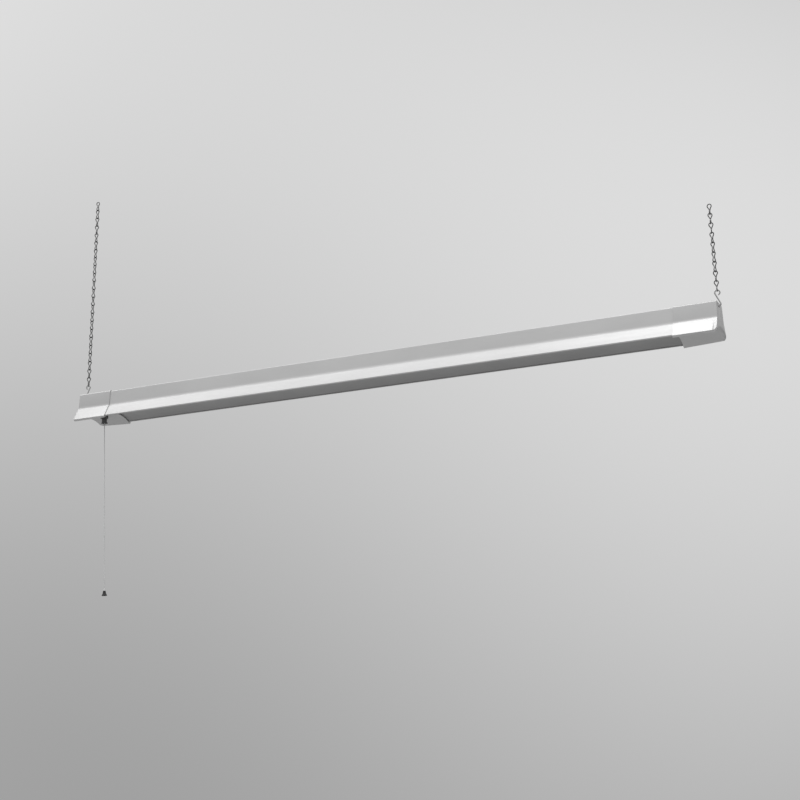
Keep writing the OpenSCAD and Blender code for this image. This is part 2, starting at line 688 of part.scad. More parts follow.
// A swept tube: each ring of the given number of sides stands square to the path
function ring(p, dir, d, sides) =
  let (n = unit(cross(dir, abs(dir.z) > 0.9 ? [1, 0, 0] : [0, 0, 1])), b = cross(unit(dir), n))
  [for (j = [0:sides - 1]) p + d / 2 * (cos(360 * j / sides) * n + sin(360 * j / sides) * b)];

module tube(path, d, sides) {
  last = len(path) - 1;
  points = [for (i = [0:last]) each ring(path[i], path[min(i + 1, last)] - path[max(i - 1, 0)], d, sides)];
  walls = [for (i = [0:last - 1], j = [0:sides - 1]) let (a = i * sides + j, b = i * sides + (j + 1) % sides)
    each [[a, b, b + sides], [a, b + sides, a + sides]]];
  ends = [[for (j = [sides - 1:-1:0]) j], [for (j = [0:sides - 1]) last * sides + j]];
  polyhedron(points, concat(walls, ends), convexity = 4);
}

// The cord from its knot on the arm down to the mouth of the neck
module cord_inside() at_switch() color("whitesmoke") {
  translate([0, 0, mouth_z]) cylinder(h = arm_top + knot_h / 2 - mouth_z, d = cord_d);
  translate([0, 0, arm_top + touch_gap]) cylinder(h = knot_h, d1 = 2.4 * cord_d, d2 = 1.8 * cord_d);
}

cord_steps = ceil(cord_len / (3 * cord_d));
module pull_cord() at_switch() color("whitesmoke")
  tube([for (k = [0:cord_steps]) [0, 0, cord_top_z - cord_len * k / cord_steps]], cord_d, 8);

sleeve_h = 4;
module cord_sleeve() at_switch() color("white") translate([0, 0, cord_low_z + 1]) difference() {
  cylinder(h = sleeve_h, d1 = cord_d + 1.6, d2 = cord_d + 0.8);
  translate([0, 0, -cut]) cylinder(h = sleeve_h + 2 * cut, d = cord_d + 0.2);
}

bell_skin = 1.2;
bell_top = cord_low_z + 1;
module cord_bell() at_switch() color("black") translate([0, 0, bell_top - bell_h]) difference() {
  rotate_extrude() polygon(concat([[0, 0], [bell_d / 2, 0], [bell_d / 2, 1.2]],
    bend([bell_d / 2, 1.2], [bell_d * 0.36, bell_h * 0.5], [bell_d * 0.27, bell_h], 4, 5),
    [[bell_d * 0.27, bell_h], [0, bell_h]]));
  translate([0, 0, -cut]) cylinder(h = cut + 1.5, d = bell_d - 2 * bell_skin);
  translate([0, 0, bell_h - 3]) cylinder(h = 3 + cut, d = cord_d + 0.2);
}

// ---------- hooks and chains ----------

// Both are drawn upright from the middle of the hook's lower bend, and leaned about it
module hang(side, lean) place() translate([side * hook_x, 0, hook_z]) rotate([0, lean, 0]) children();

tangent = asin(2 * hook_r / hook_span);
hook_tip = 25;    // degrees that the free ends run past the middle of their bends
hook_close = 75;

module s_hook() {
  wire_arc(hook_r, hook_wire, -180 - hook_tip, tangent);
  translate([0, 0, hook_span]) wire_arc(hook_r, hook_wire, -hook_close, 180 + tangent);
  rod([hook_r * cos(tangent), 0, hook_r * sin(tangent)],
      [-hook_r * cos(tangent), 0, hook_span - hook_r * sin(tangent)], hook_wire);
  for (p = [[hook_r * cos(tangent), 0, hook_r * sin(tangent)],
            [-hook_r * cos(tangent), 0, hook_span - hook_r * sin(tangent)]])
    translate(p) sphere(d = hook_wire + 0.08, $fn = 32);
}

module link_loop() {
  translate([0, 0, loop_z]) wire_arc(loop_r, chain_wire, twist_angle, 180 - twist_angle);
  for (side = [-1, 1]) {
    shoulder = [side * loop_r * cos(twist_angle), 0, loop_z + loop_r * sin(twist_angle)];
    waist = [side * twist_x, 0, twist_z];
    rod(shoulder, waist, chain_wire);
    for (p = [shoulder, waist]) translate(p) sphere(d = bend_d, $fn = 32);
  }
}

// One jack-chain link: a loop up in XZ, a loop down in YZ, and the wires twisted a quarter turn between
module jack_link() {
  link_loop();
  rotate([180, 0, 90]) link_loop();
  for (s = [-1, 1]) rod([s * twist_x, 0, twist_z], [0, s * twist_x, -twist_z], chain_wire);
}

module links(from, to) for (k = [from:to]) translate([0, 0, link_height(k)]) jack_link();

module left_hook() hang(-1, left_lean_angle) color("silver") mirror([1, 0, 0]) s_hook();
module left_chain() hang(-1, left_lean_angle) color("silver") links(1, left_links - 2);
module left_swing_link() hang(-1, left_lean_angle) color("silver") links(left_links - 1, left_links - 1);
module left_top_link() hang(-1, left_lean_angle) color("silver") links(left_links, left_links);
module right_hook() hang(1, 0) color("silver") s_hook();
module right_chain() hang(1, 0) color("silver") links(1, right_links - 1);
module right_top_link() hang(1, 0) color("silver") translate([0, 0, link_play - open_play])
  links(right_links, right_links);

housing();
left_end_cap();
right_end_cap();
lens();
led_tray();
led_boards();
leds();
board_links();
board_screws();
driver_base();
driver_cover();
driver_insulator();
driver_board();
driver_transformer();
driver_capacitors();
driver_choke();
driver_rivets();
terminal_block();
terminal_screws();
earth_screw();
mains_leads();
led_leads();
cap_screws();
inlet_bushing();
switch_body();
switch_cover();
switch_neck();
switch_nut();
switch_contacts();
switch_spring();
pull_arm();
ratchet_wheel();
cord_inside();
pull_cord();
cord_sleeve();
cord_bell();
left_hook();
left_chain();
left_swing_link();
left_top_link();
right_hook();
right_chain();
right_top_link();
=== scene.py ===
"""Hanging linear shop light: looks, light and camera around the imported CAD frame."""
import json
import math

import bmesh
import bpy
import numpy as np
from mathutils import Matrix, Vector


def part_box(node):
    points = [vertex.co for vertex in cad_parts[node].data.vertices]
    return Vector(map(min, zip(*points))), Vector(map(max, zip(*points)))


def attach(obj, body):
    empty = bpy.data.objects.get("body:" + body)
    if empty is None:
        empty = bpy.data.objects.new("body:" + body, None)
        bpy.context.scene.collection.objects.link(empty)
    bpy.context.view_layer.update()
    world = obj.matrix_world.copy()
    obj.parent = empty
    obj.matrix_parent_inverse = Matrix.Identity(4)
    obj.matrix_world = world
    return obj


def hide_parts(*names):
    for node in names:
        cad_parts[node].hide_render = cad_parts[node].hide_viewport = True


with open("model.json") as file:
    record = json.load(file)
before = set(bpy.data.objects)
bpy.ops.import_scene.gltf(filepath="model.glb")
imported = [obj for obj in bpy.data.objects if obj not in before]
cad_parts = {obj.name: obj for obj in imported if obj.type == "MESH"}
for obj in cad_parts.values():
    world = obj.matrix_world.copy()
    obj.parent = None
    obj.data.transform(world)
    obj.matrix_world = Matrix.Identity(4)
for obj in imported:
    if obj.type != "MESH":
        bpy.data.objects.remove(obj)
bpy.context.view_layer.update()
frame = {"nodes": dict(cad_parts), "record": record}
nodes = frame["nodes"]

MM = 0.001
SAME = 3e-6                          # metres: places nearer than this are one
TIPS_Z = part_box("housing")[0].z      # height of the hood's wing tips in the row frame
rng = np.random.default_rng(7)


def at(x, y, z):
    """A point given in millimetres, z above the hood's wing tips, as a place in the row frame."""
    return Vector((x * MM, y * MM, TIPS_Z + z * MM))


# ---------------------------------------------------------------- camera

VIEW_TURN, VIEW_RISE, VIEW_TILT = 23.423, 11.659, -2.534      # degrees
VIEW_PLACE = (931.27, -2039.23, -493.42)
SENSOR_W = 36                        # mm
PICTURE_W, FOCAL_LENGTH = 800, 1360.7                          # pixels


def make_camera():
    """Sets the camera that fits the photograph, and gives its level direction to the right."""
    yaw, pitch, roll = (math.radians(a) for a in (VIEW_TURN, VIEW_RISE, VIEW_TILT))
    forward = Vector((-math.sin(yaw) * math.cos(pitch), math.cos(yaw) * math.cos(pitch), math.sin(pitch)))
    right = Vector((math.cos(yaw), math.sin(yaw), 0))
    up = right.cross(forward)
    side = math.cos(roll) * right + math.sin(roll) * up
    top = -math.sin(roll) * right + math.cos(roll) * up
    cam = bpy.data.objects.new("camera", bpy.data.cameras.new("camera"))
    cam.matrix_world = Matrix.Translation(at(*VIEW_PLACE)) @ Matrix(
        (side, top, -forward)).transposed().to_4x4()
    cam.data.sensor_width = SENSOR_W
    cam.data.lens = SENSOR_W * FOCAL_LENGTH / PICTURE_W
    cam.data.clip_start, cam.data.clip_end = 0.01, 100
    bpy.context.scene.collection.objects.link(cam)
    bpy.context.scene.camera = cam
    return right


RIGHT = make_camera()

# ---------------------------------------------------------------- materials


def make_marks_group():
    """Fine marks and broad clouds over a surface: grain, rolling lines, draw marks or dulling."""
    tree = bpy.data.node_groups.new("marks_and_clouds", "ShaderNodeTree")
    for name in ("Place", "Mark Scale", "Cloud Scale"):
        tree.interface.new_socket(name, in_out="INPUT", socket_type="NodeSocketVector")
    for name in ("Mark Detail", "Mark Roughness", "Cloud Detail", "Cloud Roughness"):
        tree.interface.new_socket(name, in_out="INPUT", socket_type="NodeSocketFloat")
    for name in ("Marks", "Clouds"):
        tree.interface.new_socket(name, in_out="OUTPUT", socket_type="NodeSocketFloat")
    given = tree.nodes.new("NodeGroupInput").outputs
    result = tree.nodes.new("NodeGroupOutput").inputs
    for kind in ("Mark", "Cloud"):
        spread = tree.nodes.new("ShaderNodeMapping")
        tree.links.new(given["Place"], spread.inputs["Vector"])
        tree.links.new(given[kind + " Scale"], spread.inputs["Scale"])
        noise = tree.nodes.new("ShaderNodeTexNoise")
        noise.inputs["Scale"].default_value = 1
        tree.links.new(spread.outputs["Vector"], noise.inputs["Vector"])
        tree.links.new(given[kind + " Detail"], noise.inputs["Detail"])
        tree.links.new(given[kind + " Roughness"], noise.inputs["Roughness"])
        tree.links.new(noise.outputs["Fac"], result[kind + "s"])
    return tree


MARKS_AND_CLOUDS = make_marks_group()


class Shader:
    """A material's node tree, with short calls for the few nodes used here."""

    def __init__(self, name, **sockets):
        self.mat = bpy.data.materials.new(name)
        self.mat.use_nodes = True
        self.tree = self.mat.node_tree
        self.out = self.tree.nodes["Principled BSDF"]
        for key, value in sockets.items():
            self.out.inputs[key.replace("_", " ")].default_value = value
        self.coords = self.tree.nodes.new("ShaderNodeTexCoord")

    def node(self, kind, links=(), **values):
        n = self.tree.nodes.new("ShaderNode" + kind)
        for key, value in values.items():
            if key in n.inputs.keys():
                n.inputs[key].default_value = value
            else:
                setattr(n, key, value)
        for socket, source in links:
            self.tree.links.new(source, n.inputs[socket])
        return n

    def surface(self, marks, clouds, mark_detail=2.0, cloud_detail=2.0, mark_rough=0.55):
        """Places the shared group with this material's own scales, and gives its marks and its clouds."""
        n = self.tree.nodes.new("ShaderNodeGroup")
        n.node_tree = MARKS_AND_CLOUDS
        self.tree.links.new(self.coords.outputs["Object"], n.inputs["Place"])
        values = {"Mark Scale": marks, "Cloud Scale": clouds, "Mark Detail": mark_detail,
                  "Cloud Detail": cloud_detail, "Mark Roughness": mark_rough, "Cloud Roughness": 0.55}
        for key, value in values.items():
            n.inputs[key].default_value = value
        return n.outputs["Marks"], n.outputs["Clouds"]

    def ramp(self, fac, low, high, a=0.3, b=0.7):
        n = self.node("MapRange", [("Value", fac)])
        n.inputs["From Min"].default_value, n.inputs["From Max"].default_value = a, b
        n.inputs["To Min"].default_value, n.inputs["To Max"].default_value = low, high
        return n.outputs["Result"]

    def tint(self, fac, low, high):
        n = self.node("Mix", [(0, fac)], data_type="RGBA")
        n.inputs[6].default_value, n.inputs[7].default_value = (*low, 1), (*high, 1)
        return n.outputs[2]

    def link(self, socket, source):
        self.tree.links.new(source, self.out.inputs[socket])

    def bump(self, height, strength, distance):
        n = self.node("Bump", [("Height", height)], Strength=strength, Distance=distance)
        self.link("Normal", n.outputs["Normal"])


def grey(v):
    return (v, v, v)


def brushed(name, base, rough, metallic, grain):
    """Satin metal with fine rolling lines along X."""
    s = Shader(name, Metallic=metallic)
    lines, clouds = s.surface((6, 900, 900), (9, 30, 30), mark_detail=4, mark_rough=0.6)
    s.link("Base Color", s.tint(s.ramp(clouds, 0, 1), grey(base * 0.97), grey(base * 1.03)))
    s.link("Roughness", s.ramp(lines, rough - 0.05, rough + 0.05))
    s.bump(lines, grain, 0.00006)
    return s.mat


def moulded(name, base, rough=0.48, grain=0.16, size=1900, spread=0.03, flake=0.0):
    """Injection-moulded plastic with a fine spark-eroded grain, and metal flake in the silver-grey caps."""
    s = Shader(name, Specular_IOR_Level=0.45, Metallic=flake)
    pebble, flow = s.surface((size, size, size), (14, 22, 22), cloud_detail=3)
    low = tuple(c * (1 - spread) for c in base)
    high = tuple(min(1, c * (1 + spread)) for c in base)
    s.link("Base Color", s.tint(s.ramp(flow, 0, 1), low, high))
    s.link("Roughness", s.ramp(pebble, rough - 0.06, rough + 0.06))
    s.bump(pebble, grain, 0.00005)
    return s.mat


def plated(name, base, rough, dull=0.25):
    """Plated or bare wire and fittings: shiny metal with cloudy dulling and fine draw marks."""
    s = Shader(name, Metallic=1.0)
    marks, cloud = s.surface((2600, 2600, 500), (260, 260, 260), cloud_detail=4)
    s.link("Base Color", s.tint(s.ramp(cloud, 0, 1), grey(base * (1 - dull)), grey(base)))
    s.link("Roughness", s.ramp(cloud, rough + 0.12, rough - 0.04))
    s.bump(marks, 0.12, 0.00003)
    return s.mat


def frosted(name):
    """Frosted extruded acrylic with faint die lines along X, its milky colour drawn as a dark grey: painted
    shade of the fixture's underside.
    """
    s = Shader(name, Roughness=0.26, IOR=1.49)
    lines, cloud = s.surface((1.5, 420, 420), (12, 12, 12), mark_detail=3)
    # painted shade: the grey of 0.38 to 0.42 darkens the milky lens as if it lay in shade
    s.link("Base Color", s.tint(s.ramp(cloud, 0, 1), grey(0.38), grey(0.42)))
    s.bump(lines, 0.10, 0.00008)
    return s.mat


def braided(name):
    """Fine white braid: two crossing helices from the tube's own UVs."""
    s = Shader(name, Roughness=0.75, Specular_IOR_Level=0.25, Sheen_Weight=0.2)
    uv = s.node("SeparateXYZ", [("Vector", s.coords.outputs["UV"])])

    def wave(turn):
        a = s.node("Math", [(0, uv.outputs["X"])], operation="MULTIPLY")
        a.inputs[1].default_value = 4 * turn
        b = s.node("Math", [(0, uv.outputs["Y"]), (1, a.outputs[0])], operation="ADD")
        c = s.node("Math", [(0, b.outputs[0])], operation="MULTIPLY")
        c.inputs[1].default_value = math.tau
        return s.node("Math", [(0, c.outputs[0])], operation="SINE").outputs[0]

    weave = s.node("Math", [(0, wave(1)), (1, wave(-1))], operation="MULTIPLY").outputs[0]
    s.link("Base Color", s.tint(s.ramp(weave, 0, 1, -1, 1), grey(0.66), grey(0.86)))
    s.bump(weave, 0.5, 0.00012)
    return s.mat


MATS = {
    "hood": brushed("satin_aluminium", 0.62, 0.38, 0.42, 0.10),
    "cap": moulded("silver_cap_plastic", grey(0.57), rough=0.34, grain=0.14, flake=0.5),
    "lens": frosted("frosted_acrylic_painted_shade"),
    # painted shade: the zinc of the links and cap screws has a base of 0.17, far darker than the same zinc on
    # the hooks
    "zinc": plated("chain_zinc_painted_shade", 0.17, 0.10),
    "hook_zinc": plated("hook_zinc", 0.62, 0.12),
    "white_steel": brushed("white_enamel", 0.85, 0.35, 0.0, 0.03),
    "white_board": moulded("white_solder_mask", grey(0.85), rough=0.3, grain=0.05),
    "phosphor": moulded("yellow_phosphor", (0.86, 0.72, 0.22), rough=0.3, grain=0.1),
    "ivory": moulded("ivory_moulding", (0.80, 0.78, 0.68), rough=0.38),
    "case": brushed("plain_steel_case", 0.66, 0.38, 0.9, 0.08),
    "black_sheet": moulded("black_film", grey(0.04), rough=0.4, grain=0.05),
    "green_board": moulded("green_solder_mask", (0.03, 0.20, 0.08), rough=0.25, grain=0.06),
    "ferrite": moulded("tape_over_ferrite", (0.62, 0.46, 0.10), rough=0.3, grain=0.05),
    "can_sleeve": moulded("capacitor_sleeve", (0.04, 0.05, 0.12), rough=0.22, grain=0.03),
    "enamelled_wire": moulded("enamelled_copper", (0.42, 0.17, 0.05), rough=0.2, grain=0.3, size=700),
    "aluminium_rivet": plated("rivet_aluminium", 0.78, 0.30, dull=0.12),
    "earth_green": moulded("earth_green", (0.05, 0.32, 0.10), rough=0.3),
    "lead_black": moulded("lead_black", grey(0.035), rough=0.42),
    "lead_red": moulded("lead_red", (0.42, 0.03, 0.02), rough=0.4),
    "black_plastic": moulded("black_plastic", grey(0.03), rough=0.36, grain=0.1),
    "neck": moulded("dark_moulding", grey(0.12), rough=0.34, grain=0.1),
    "contact_brass": plated("contact_brass", 0.7, 0.25),
    "spring_steel": plated("spring_steel", 0.6, 0.22),
    "white_plastic": moulded("white_plastic", grey(0.80), rough=0.35, grain=0.08),
    "cord": braided("braided_cord"),
}
SLOT = {p["node"]: p["material_slot"] for p in frame["record"]["subparts"]}


def smooth(obj, degrees=32):
    """Smooth shading, with edges sharper than the given angle left sharp."""
    obj.data.shade_smooth()
    obj.data.set_sharp_from_angle(angle=math.radians(degrees))


for name, node in nodes.items():
    node.data.materials.clear()
    node.data.materials.append(MATS[SLOT[name]])
    smooth(node)

# ---------------------------------------------------------------- ways of making a piece


def dress(obj, slot, body, stands_for, sharp=32, finish=None):
    """Gives a finished piece its material, its smoothing and its body, and hides the node that it replaces.
    """
    obj.data.materials.clear()
    obj.data.materials.append(MATS[finish or slot])
    smooth(obj, sharp)
    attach(obj, body)
    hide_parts(stands_for)
    return obj


def from_rings(name, verts, faces, uvs=None):
    """A piece from the rings of a wire or of the ribbed nut, worked out in millimetres by a formula."""
    mesh = bpy.data.meshes.new(name)
    mesh.from_pydata([at(*v) for v in verts], [], faces)
    mesh.update()
    bm = bmesh.new()
    bm.from_mesh(mesh)
    bmesh.ops.remove_doubles(bm, verts=bm.verts, dist=1e-7)
    bmesh.ops.recalc_face_normals(bm, faces=bm.faces)
    bm.to_mesh(mesh)
    bm.free()
    if uvs is not None:
        layer = mesh.uv_layers.new(name="UVMap")
        for loop in mesh.loops:
            layer.data[loop.index].uv = uvs[loop.vertex_index]
    obj = bpy.data.objects.new(name, mesh)
    bpy.context.scene.collection.objects.link(obj)
    return obj


def drawn(name, places):
    """Adds a small plane, merges it to one point and extrudes that point from place to place."""
    bpy.ops.object.select_all(action="DESELECT")
    bpy.ops.mesh.primitive_plane_add(size=MM, location=(0, 0, 0))
    obj = bpy.context.object
    obj.name = name
    obj.data.name = name
    bpy.ops.object.mode_set(mode="EDIT")
    bpy.ops.mesh.select_all(action="SELECT")
    bpy.ops.mesh.merge(type="CENTER")
    bpy.ops.transform.translate(value=places[0])
    for a, b in zip(places, places[1:]):
        bpy.ops.mesh.extrude_vertices_move(TRANSFORM_OT_translate={"value": b - a})
    bpy.ops.mesh.select_all(action="SELECT")
    bpy.ops.mesh.remove_doubles(threshold=SAME)
    return obj


def close_up():
    """Merges what coincides, turns the faces outward and leaves edit mode."""
    bpy.ops.mesh.select_all(action="SELECT")
    bpy.ops.mesh.remove_doubles(threshold=SAME)
    bpy.ops.mesh.normals_make_consistent(inside=False)
    bpy.ops.object.mode_set(mode="OBJECT")


def turned(name, profile, base, sides=48, lying=False):
    """Spins a profile of (radius, height) about the upright line through its base, or about one along X."""
    x, y, z = base
    if lying:
        places = [at(x + h, y, z - r) for r, h in profile]
    else:
        places = [at(x + r, y, z + h) for r, h in profile]
    obj = drawn(name, places)
    bpy.ops.mesh.spin(steps=sides, angle=math.tau, center=at(*base), axis=(1, 0, 0) if lying else (0, 0, 1))
    close_up()
    return obj


def extruded(name, outline, x0, x1):
    """Fills a section of (y, z) points and extrudes it along X."""
    places = [at(x0, p[0], p[1]) for p in outline]
    obj = drawn(name, places + places[:1])
    bpy.ops.mesh.edge_face_add()
    bpy.ops.mesh.extrude_region_move(TRANSFORM_OT_translate={"value": ((x1 - x0) * MM, 0, 0)})
    close_up()
    return obj


def joined(objs):
    """One piece from several, under the first one's name."""
    bpy.ops.object.select_all(action="DESELECT")
    for obj in objs:
        obj.select_set(True)
    bpy.context.view_layer.objects.active = objs[0]
    bpy.ops.object.join()
    return objs[0]


def copied(obj, shift):
    """A copy with its own mesh, moved by millimetres in its mesh."""
    twin = obj.copy()
    twin.data = obj.data.copy()
    twin.data.transform(Matrix.Translation(Vector(shift) * MM))
    bpy.context.scene.collection.objects.link(twin)
    return twin


def tube(path, radius, sides=12, closed=False, chamfer=0.0):
    """Rings and faces of a round wire along a list of points in millimetres."""
    pts = [Vector(p) for p in path]
    radii = [radius] * len(pts)
    if not closed and chamfer:
        a = (pts[0] - pts[1]).normalized()
        b = (pts[-1] - pts[-2]).normalized()
        pts = [pts[0]] + [pts[0] - a * chamfer] + pts[1:-1] + [pts[-1] - b * chamfer] + [pts[-1]]
        radii = [radius - chamfer] + [radius] * (len(pts) - 2) + [radius - chamfer]
    n = len(pts)
    tangents = []
    for i in range(n):
        a, b = (pts[i - 1], pts[(i + 1) % n]) if closed else (pts[max(i - 1, 0)], pts[min(i + 1, n - 1)])
        tangents.append((b - a).normalized())
    ref = Vector((0, 1, 0)) if abs(tangents[0].y) < 0.9 else Vector((1, 0, 0))
    normal = (ref - tangents[0] * ref.dot(tangents[0])).normalized()
    frames = []
    for i in range(n):
        normal = (normal - tangents[i] * normal.dot(tangents[i])).normalized()
        frames.append((normal, tangents[i].cross(normal)))
    twist = 0.0
    if closed:      # spreads the leftover turn of the frame over the whole ring
        last = (frames[-1][0] - tangents[0] * frames[-1][0].dot(tangents[0])).normalized()
        twist = -math.atan2(last.dot(frames[0][1]), last.dot(frames[0][0]))
    verts, faces = [], []
    for i in range(n):
        u, v = frames[i]
        turn = twist * i / n
        for j in range(sides):
            a = math.tau * j / sides + turn
            verts.append(pts[i] + radii[i] * (math.cos(a) * u + math.sin(a) * v))
    for i in range(n if closed else n - 1):
        for j in range(sides):
            k = (j + 1) % sides
            m = (i + 1) % n
            faces.append((i * sides + j, i * sides + k, m * sides + k, m * sides + j))
    if not closed:
        faces.append(tuple(range(sides - 1, -1, -1)))
        faces.append(tuple((n - 1) * sides + j for j in range(sides)))
    return verts, faces


def merged(parts):
    """The vertices and faces of several parts as one list of each."""
    verts, faces = [], []
    for v, f in parts:
        base = len(verts)
        verts += list(v)
        faces += [tuple(i + base for i in face) for face in f]
    return verts, faces


def rounded(points, radii, steps=6):
    """A closed outline with its corners rounded."""
    out = []
    n = len(points)
    for i, (p, r) in enumerate(zip(points, radii)):
        p, a, b = Vector(p), Vector(points[i - 1]), Vector(points[(i + 1) % n])
        if r <= 0:
            out.append(p)
            continue
        u, v = (a - p).normalized(), (b - p).normalized()
        half = u.angle(v) / 2
        reach = r / math.tan(half)
        centre = p + (u + v).normalized() * r / math.sin(half)
        s, e = p + u * reach - centre, p + v * reach - centre
        start = math.atan2(s.y, s.x)
        turn = (math.atan2(e.y, e.x) - start + 3 * math.pi) % math.tau - math.pi
        out += [centre + r * Vector((math.cos(start + turn * k / steps), math.sin(start + turn * k / steps)))
                for k in range(steps + 1)]
    return out


def placed(mesh, matrix):
    """Vertices moved by a matrix, with their faces."""
    return [matrix @ Vector(v) for v in mesh[0]], mesh[1]


# ---------------------------------------------------------------- pull cord

SWITCH_X = -547.0
MOUTH_Z = -6.0
CORD_D, CORD_LEN = 1.4, 306.0
CORD_TOP = MOUTH_Z - 0.6 * CORD_D
CORD_LOW = CORD_TOP - CORD_LEN
CORD_RINGS, CORD_SIDES, BRAID_PITCH = 74, 12, 1.1
SLEEVE_H, BELL_H, BELL_R, BELL_NECK_R = 4.0, 9.0, 4.8, 2.45


def sleeve_profile():
    """Radius and height, from the sleeve's low end: a collar, then a taper to the top."""
    return [(0.72, 0.2), (1.3, 0), (1.5, 0.25), (1.45, 1.0), (1.35, 1.1), (1.38, 1.3), (1.2, 3.2),
            (1.12, 3.7), (0.95, SLEEVE_H), (0.72, SLEEVE_H - 0.1), (0.72, 0.2)]


def bell_profile():
    """Radius and height, from the bell's mouth: the hollow, the curved flank and the crown."""
    waist = BELL_NECK_R + 0.1
    h, r = BELL_H, BELL_R
    hollow = [(0, 1.5), (3.3, 1.5), (3.6, 1.2), (3.65, 0.3), (3.9, 0), (4.5, 0), (r, 0.3), (r, 1.2)]
    flank = [(waist + (r - waist) * (1 - t) ** 2.1, 1.2 + (h - 2.0) * t) for t in np.linspace(0.06, 1, 14)]
    crown = [(BELL_NECK_R, h - 0.35), (2.1, h - 0.05), (1.6, h), (0.9, h), (0.8, h - 0.3), (0.8, h - 2.9),
             (0, h - 3)]
    return hollow + flank + crown


def make_cord():
    steps = CORD_RINGS - 1
    path = [(SWITCH_X, 0, CORD_TOP - CORD_LEN * k / steps) for k in range(CORD_RINGS)]
    verts, faces = tube(path, CORD_D / 2, CORD_SIDES)
    uvs = [(j / CORD_SIDES, CORD_LEN * (i / steps) / BRAID_PITCH)
           for i in range(CORD_RINGS) for j in range(CORD_SIDES)]
    cord = dress(from_rings("pull_cord_braid", verts, faces, uvs), "cord", "cord", "pull_cord", sharp=60)
    sleeve = turned("cord_sleeve_turned", sleeve_profile(), (SWITCH_X, 0, CORD_LOW + 1), sides=32)
    dress(sleeve, "white_plastic", "cord", "cord_sleeve")
    bell = turned("cord_bell_turned", bell_profile(), (SWITCH_X, 0, CORD_LOW + 1 - BELL_H))
    dress(bell, "black_plastic", "cord", "cord_bell")


make_cord()

# ---------------------------------------------------------------- hood and lens

HALF_L, SEAM_X, HOOD_END = 585.0, 518.2, 542.2
HOOD_H, TOP_HALF, SHEET_T = 48.4, 21.2, 0.8
WAIST_HALF, WAIST_Z = 24.9, 22
TIP_HALF, LIP_W = 39.9, 4.0
TOP_BEND, WAIST_BEND, TIP_BEND = 1.8, 14, 0.9
LENS_HALF, LENS_CROWN, LENS_EDGE, LENS_T = 36.7, 11.4, 1.0, 1.5
LENS_POINTS, LENS_IN = 49, 10         # points along the arch, and how far it runs into a cap


def offset_path(path, d):
    """A path moved sideways by d, square to itself."""
    out = []
    for i, p in enumerate(path):
        a = (path[min(i + 1, len(path) - 1)] - path[min(i, len(path) - 2)]).normalized()
        b = (path[max(i, 1)] - path[max(i - 1, 0)]).normalized()
        la, lb = Vector((-a.y, a.x)), Vector((-b.y, b.x))
        side = (la + lb).normalized()
        out.append(p + side * d / side.dot(la))
    return out


def make_hood():
    right = [(TOP_HALF, HOOD_H), (WAIST_HALF, WAIST_Z), (TIP_HALF, 0), (TIP_HALF - LIP_W, 0)]
    path = [(-x, z) for x, z in reversed(right)] + right
    half_radii = [TOP_BEND, WAIST_BEND, TIP_BEND, 0]
    outer = rounded(path, half_radii[::-1] + half_radii, 10)
    inner = offset_path(outer, -SHEET_T)
    hood = extruded("hood_sheet", outer + inner[::-1], -HOOD_END, HOOD_END)
    dress(hood, "hood", "fixture", "housing", sharp=40)


def lens_arc(radius, centre_z):
    """Points (y, z) of one face of the lens, from wing to wing."""
    reach = math.asin(LENS_HALF / radius)
    return [Vector((radius * math.sin(u), centre_z + radius * math.cos(u)))
            for u in np.linspace(-reach, reach, LENS_POINTS)]


def make_lens():
    rise = LENS_CROWN - LENS_EDGE
    r = (rise * rise + LENS_HALF * LENS_HALF) / (2 * rise)
    under = lens_arc(r, LENS_CROWN - r)
    over = lens_arc(r + LENS_T, LENS_CROWN - r)
    lens = extruded("lens_strip", under + over[::-1], -SEAM_X - LENS_IN, SEAM_X + LENS_IN)
    dress(lens, "lens", "fixture", "lens", sharp=40)


make_hood()
make_lens()

# ---------------------------------------------------------------- end caps

ARCH_R, ARCH_CROWN = 69.19, 8.5
FOOT_Z, TIP_Z, SOLE_RISE = -3.49, -0.49, 3.8
FOOT_Y, TIP_Y = 39.33, 41.93          # where a foot's sloping side starts below, and ends above
FLARE_SLOPE = WAIST_Z / (TIP_HALF - WAIST_HALF)
SOLE_NEAR = 0.35                      # how near to the underside's height a point counts as on it


def sole(x, y):
    """Height of a cap's underside: the arch between its feet, and the rear foot rising to the end wall."""
    arch = ARCH_CROWN - ARCH_R + math.sqrt(ARCH_R ** 2 - y * y)
    slope = FOOT_Z + (abs(y) - FOOT_Y) * (TIP_Z - FOOT_Z) / (TIP_Y - FOOT_Y)
    low = max(arch, FOOT_Z, slope)
    rise = FOOT_Z + SOLE_RISE * (x - SEAM_X) / (HALF_L - SEAM_X)
    return max(low, rise) if y > TIP_Y / 2 else low


def roll_end(bm, side, front, rear, steps=7):
    """Rolls a cap's underside up into its end wall, with its own radius at the front and at the rear."""
    for k in range(steps):
        x = HALF_L - rear + rear * math.sin(math.pi / 2 * k / steps)
        bmesh.ops.bisect_plane(bm, geom=bm.verts[:] + bm.edges[:] + bm.faces[:], dist=1e-7,
                               plane_co=(side * x * MM, 0, 0), plane_no=(1, 0, 0))
    for v in bm.verts:
        x, y, z = side * v.co.x / MM, v.co.y / MM, (v.co.z - TIPS_Z) / MM
        r = front + (rear - front) * min(max(y / FOOT_Y, 0), 1)
        run = min(x - (HALF_L - r), r)
        if run > 0 and abs(z - sole(x, y)) < SOLE_NEAR:
            flare = TIP_Z + (TIP_Y - abs(y)) * FLARE_SLOPE
            lift = min(r - math.sqrt(r * r - run * run), max(flare - 0.1 - z, 0))
            v.co.z += lift * MM


